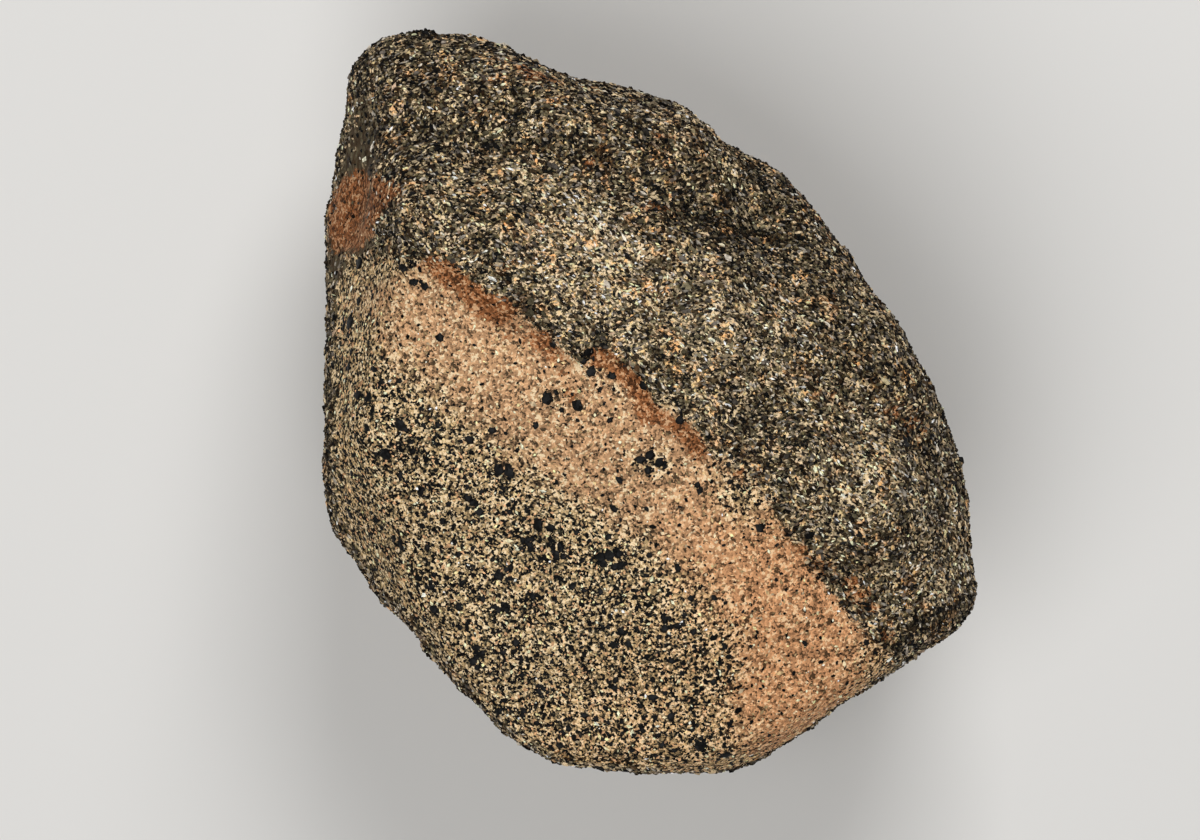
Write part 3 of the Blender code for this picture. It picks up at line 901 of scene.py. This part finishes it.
def dressed_grains(name, surface, quads, kind, draws):
    """Scatters one kind of grain over its zone, in shades of its mineral."""
    count = kind["count"]
    picked = spread(surface, quads, count, kind["weight"], draws)
    size = draws.lognormal(0.0, SIZE_SPREAD, count)
    sizes = np.stack([
        kind["long"] * size * draws.uniform(*LENGTH_RANGE, count),
        kind["wide"] * size * draws.uniform(*WIDTH_RANGE, count), kind["high"] * size,
    ], axis=1)
    if kind["streaked"]:
        bearings = grain_bearings(picked, draws)
    else:
        bearings = draws.uniform(0.0, math.tau, count)
    turns = lying_turns(picked["normal"], bearings, kind["tilt"], draws)
    sunk = (kind["proud"] - 0.5) * sizes[:, 2]
    points = picked["point"] + picked["normal"] * sunk[:, None]
    base = np.array([kind["colours"][i][:3] for i in draws.integers(0, len(kind["colours"]), count)])
    shade = draws.lognormal(0.0, kind["shade"], count)
    # Grains that follow the tone turn paler or darker with it, carrying its painted light and painted shade;
    # the soft patches are the stone's own
    shade *= np.exp(kind["toned"] * (picked["tone"] + 2.6 * picked["soft"]))
    rusty = smooth_step(picked["reddish"] * 2.0 - 0.9 + 0.6 * draws.normal(size=count)) * kind["rusty"]
    tint = 1.0 + rusty[:, None] * (np.array(GRAIN_REDDER) - 1.0)
    colours = np.clip(base * shade[:, None] * tint, 0.0, BRIGHTEST_GRAIN)
    mesh = joined_copies(crystal_shape(*kind["shape"]), points, turns, sizes, colours)
    material = grain_material(name.replace("_", " "), kind["roughness"], kind["shine"])
    show_piece(name, mesh, material, smooth=False)


class METEORITE_OT_crust_grains(bpy.types.Operator):
    """Sets pale flakes, the brightest of which are also painted glints, olive grains and dark grains into
    the crust
    """

    bl_idname = "meteorite.crust_grains"
    bl_label = "Set the crust's grains"

    def execute(self, context):
        colours = context.scene.stone_colours
        surface, quads = read_surface(bpy.data.objects["stone_surface"].data)
        weight = crust_weight(surface)
        shared = {"tilt": 0.3, "streaked": True, "rusty": 0.5, "toned": 0.4, "roughness": 0.6, "shine": 0.06}
        kinds = {
            # Pale flakes, the brightest also painted glints; they gather where the tone is high, so they
            # carry its painted light too
            "cream_flakes_and_painted_glints": {
                **shared, "count": 15500, "shape": (4, 0.6, 0.12), "long": 1.35, "wide": 0.5, "high": 0.6,
                "weight": weight * np.clip(0.75 + 0.7 * surface["tone"], 0.15, None), "proud": 0.42,
                "colours": [toned(colours.cream, 0.60), toned(colours.cream, 0.34), PALE_GREY],
                "shade": 0.45,
            },
            "olive_grains": {
                **shared, "count": 11500, "shape": (5, 0.55, 0.1), "long": 1.2, "wide": 0.8, "high": 0.8,
                "weight": weight, "proud": 0.4, "colours": [colours.olive, GREY_BROWN, colours.brown],
                "shade": 0.5,
            },
            # Dark grains gather where the tone is low, so they carry its painted shade too
            "dark_grains": {
                **shared, "count": 15500, "shape": (4, 0.5, -0.1), "long": 1.3, "wide": 0.75, "high": 0.9,
                "weight": weight * np.clip(0.9 - 0.6 * surface["tone"], 0.2, None), "proud": 0.4,
                "colours": [colours.black, scaled_by(colours.brown, 0.35), colours.black], "shade": 0.4,
            },
        }
        draws = np.random.default_rng(CRUST_SEED)
        for name, kind in kinds.items():
            dressed_grains(name, surface, quads, kind, draws)
        return {"FINISHED"}


class METEORITE_OT_face_grains(bpy.types.Operator):
    """Sets black specks and pale chips into the broken face"""

    bl_idname = "meteorite.face_grains"
    bl_label = "Set the face's grains"

    def execute(self, context):
        colours = context.scene.stone_colours
        surface, quads = read_surface(bpy.data.objects["stone_surface"].data)
        on_face = np.where(surface["face"] > 0.3, 1.0, 0.0)
        on_face *= 1.0 - smooth_step(surface["stain"] * 2.0 - 0.6)
        clustered = np.clip(1.0 + 1.6 * surface["soft"], 0.1, None)
        shared = {
            "tilt": 0.15, "streaked": False, "rusty": 0.0, "toned": 0.0, "roughness": 0.6, "shine": 0.05,
        }
        kinds = {
            "face_specks": {
                **shared, "count": 5200, "shape": (5, 0.7, 0.1), "long": 1.1, "wide": 0.75, "high": 0.5,
                "weight": on_face * (0.10 + surface["specks"] * clustered),
                "proud": 0.2, "colours": [colours.black, scaled_by(colours.black, 0.6)], "shade": 0.4,
            },
            "face_chips": {
                **shared, "count": 7000, "shape": (4, 0.7, 0.1), "long": 1.0, "wide": 0.6, "high": 0.5,
                "weight": on_face * (0.6 + surface["specks"]), "proud": 0.25,
                "colours": [
                    toned(colours.peach, 0.42), toned(colours.sand, 0.5), toned(colours.sand, 0.25),
                    toned(colours.cream, 0.7),
                ],
                "shade": 0.35,
            },
        }
        draws = np.random.default_rng(FACE_SEED)
        for name, kind in kinds.items():
            dressed_grains(name, surface, quads, kind, draws)
        return {"FINISHED"}


def seen_points(mesh, places):
    """The points and normals of the mesh that the camera sees at these places."""
    form = bmesh.new()
    form.from_mesh(mesh)
    tree = BVHTree.FromBMesh(form)
    form.free()
    eye = Vector((*PICTURE_CENTRE, CAMERA_HEIGHT + RIM_HEIGHT)) * MM
    hits = [tree.ray_cast(eye, Vector((*place, RIM_HEIGHT)) * MM - eye) for place in places]
    if any(hit[0] is None for hit in hits):
        raise RuntimeError("a black crystal misses the stone")
    points = np.array([hit[0] for hit in hits]) / MM
    return points, np.array([hit[1] for hit in hits])


def crystal_places(draws):
    """Where the large and the knotted black crystals lie, as seen from above, and their half widths."""
    places = [(x, y) for x, y, width in LARGE_CRYSTALS]
    widths = [width for x, y, width in LARGE_CRYSTALS]
    for x, y, width in CRYSTAL_KNOTS:
        for bearing in draws.uniform(0.0, math.tau, CRYSTALS_A_KNOT):
            reach = width * math.sqrt(draws.random())
            places.append((x + reach * math.cos(bearing), y + reach * math.sin(bearing)))
            widths.append(width * draws.uniform(*KNOT_SHARES))
    return places, widths


class METEORITE_OT_black_crystals(bpy.types.Operator):
    """Sets the large black crystals into the broken face, alone and in knots"""

    bl_idname = "meteorite.black_crystals"
    bl_label = "Set the black crystals"

    def execute(self, context):
        mesh = bpy.data.objects["stone_surface"].data
        surface, quads = read_surface(mesh)
        draws = np.random.default_rng(CRYSTAL_SEED)
        places, widths = crystal_places(draws)
        points, normals = seen_points(mesh, places)
        on_face = np.where(surface["face"] > 0.5, surface["specks"] + 0.06, 0.0) * (1.0 - surface["stain"])
        loose = spread(surface, quads, LOOSE_CRYSTALS, on_face, draws)
        points = np.concatenate([points, loose["point"]])
        normals = np.concatenate([normals, loose["normal"]])
        widths = np.concatenate([widths, draws.lognormal(*LOOSE_WIDTHS, LOOSE_CRYSTALS)])
        count = len(points)
        sizes = 2.0 * widths[:, None] * draws.uniform(CRYSTAL_LEAST, CRYSTAL_MOST, (count, 3))
        turns = lying_turns(normals, draws.uniform(0.0, math.tau, count), CRYSTAL_TILT, draws)
        points -= normals * (CRYSTAL_SUNK * sizes[:, 2])[:, None]
        dark = np.array(context.scene.stone_colours.black[:3]) * draws.uniform(0.5, 1.3, (count, 1))
        copies = joined_copies(chunk_shape(), points, turns, sizes, dark)
        show_piece("black_crystals", copies, grain_material("black crystals", 0.45, 0.10), smooth=False)
        return {"FINISHED"}


def floor_mesh(radius):
    """A flat round floor that curves up into a wall far from the stone."""
    form = bmesh.new()
    profile = [Vector((0.0, 0.0, 0.0)), Vector((radius, 0.0, 0.0))]
    for step in range(1, FLOOR_BEND_STEPS + 1):
        angle = math.radians(FLOOR_BEND_ANGLE) * step / FLOOR_BEND_STEPS
        out, up = FLOOR_BEND * math.sin(angle), FLOOR_BEND * (1.0 - math.cos(angle))
        profile.append(Vector((radius + out, 0.0, up)))
    profile.append(profile[-1] + Vector(WALL_RISE))
    corners = [form.verts.new(p) for p in profile]
    edges = [form.edges.new(pair) for pair in zip(corners, corners[1:])]
    bmesh.ops.spin(
        form, geom=corners + edges, cent=(0, 0, 0), axis=(0, 0, 1), angle=math.tau, steps=FLOOR_SIDES,
        use_merge=True,
    )
    bmesh.ops.remove_doubles(form, verts=form.verts, dist=1e-5)
    bmesh.ops.recalc_face_normals(form, faces=form.faces)
    mesh = mesh_from(form, "floor")
    mesh.shade_smooth()
    return mesh


def floor_material(colour):
    """The plain matt floor."""
    material, shader = new_material("plain floor")
    shader.inputs["Base Color"].default_value = colour
    shader.inputs["Roughness"].default_value = FLOOR_ROUGHNESS
    shader.inputs["Specular IOR Level"].default_value = FLOOR_SHINE
    return material


def add_light(name, place, aim, size, power):
    """A square area light that faces a point. Places are in metres."""
    data = bpy.data.lights.new(name, "AREA")
    data.size = size
    data.energy = power
    lamp = add_object(name, data)
    lamp.location = place
    lamp.rotation_mode = "QUATERNION"
    lamp.rotation_quaternion = (Vector(aim) - Vector(place)).to_track_quat("-Z", "Y")


class METEORITE_OT_stage(bpy.types.Operator):
    """Adds the floor, the lights, the even sky and the camera that looks straight down"""

    bl_idname = "meteorite.stage"
    bl_label = "Set the stage"

    def execute(self, context):
        scene = context.scene
        studio = scene.studio
        floor = add_object("floor", floor_mesh(studio.floor_radius))
        floor.data.materials.append(floor_material(studio.floor_colour))
        add_light("key light", KEY_PLACE, LIGHT_AIM, KEY_SIZE, studio.key_power)
        add_light("fill light", FILL_PLACE, LIGHT_AIM, FILL_SIZE, studio.fill_power)
        world = bpy.data.worlds.new("even sky")
        world.use_nodes = True
        background = world.node_tree.nodes["Background"]
        background.inputs["Color"].default_value = (1.0, 1.0, 1.0, 1.0)
        background.inputs["Strength"].default_value = studio.sky
        scene.world = world
        data = bpy.data.cameras.new("camera")
        data.lens = LENS
        data.sensor_width = SENSOR
        data.clip_start = NEAR_CLIP
        data.clip_end = FAR_CLIP
        camera = add_object("camera", data)
        camera.location = (
            PICTURE_CENTRE[0] * MM, PICTURE_CENTRE[1] * MM, (CAMERA_HEIGHT + RIM_HEIGHT) * MM,
        )
        scene.camera = camera
        scene.view_settings.view_transform = "Standard"
        return {"FINISHED"}


class METEORITE_PT_panel(bpy.types.Panel):
    """Lists the steps that dress the stone"""

    bl_idname = "METEORITE_PT_panel"
    bl_label = "Martian meteorite"
    bl_space_type = "VIEW_3D"
    bl_region_type = "UI"
    bl_category = "Meteorite"

    def draw(self, context):
        for operator in OPERATORS:
            self.layout.operator(operator.bl_idname)
        for name, group in SETTINGS.items():
            box = self.layout.box()
            box.label(text=group.__doc__)
            for setting in group.__annotations__:
                box.prop(getattr(context.scene, name), setting)


OPERATORS = (
    METEORITE_OT_stone, METEORITE_OT_crust_grains, METEORITE_OT_face_grains, METEORITE_OT_black_crystals,
    METEORITE_OT_stage,
)
SETTINGS = {"stone_shape": StoneShape, "stone_colours": StoneColours, "studio": Studio}


def register():
    """Adds the settings, the operators and the panel."""
    for item in (*SETTINGS.values(), *OPERATORS, METEORITE_PT_panel):
        bpy.utils.register_class(item)
    for name, group in SETTINGS.items():
        setattr(bpy.types.Scene, name, bpy.props.PointerProperty(type=group))


def unregister():
    """Takes them away again."""
    for name in SETTINGS:
        delattr(bpy.types.Scene, name)
    for item in (METEORITE_PT_panel, *reversed(OPERATORS), *SETTINGS.values()):
        bpy.utils.unregister_class(item)


def main():
    """Runs the operators in order."""
    register()
    bpy.ops.meteorite.stone()
    bpy.ops.meteorite.crust_grains()
    bpy.ops.meteorite.face_grains()
    bpy.ops.meteorite.black_crystals()
    bpy.ops.meteorite.stage()


if __name__ == "__main__":
    main()
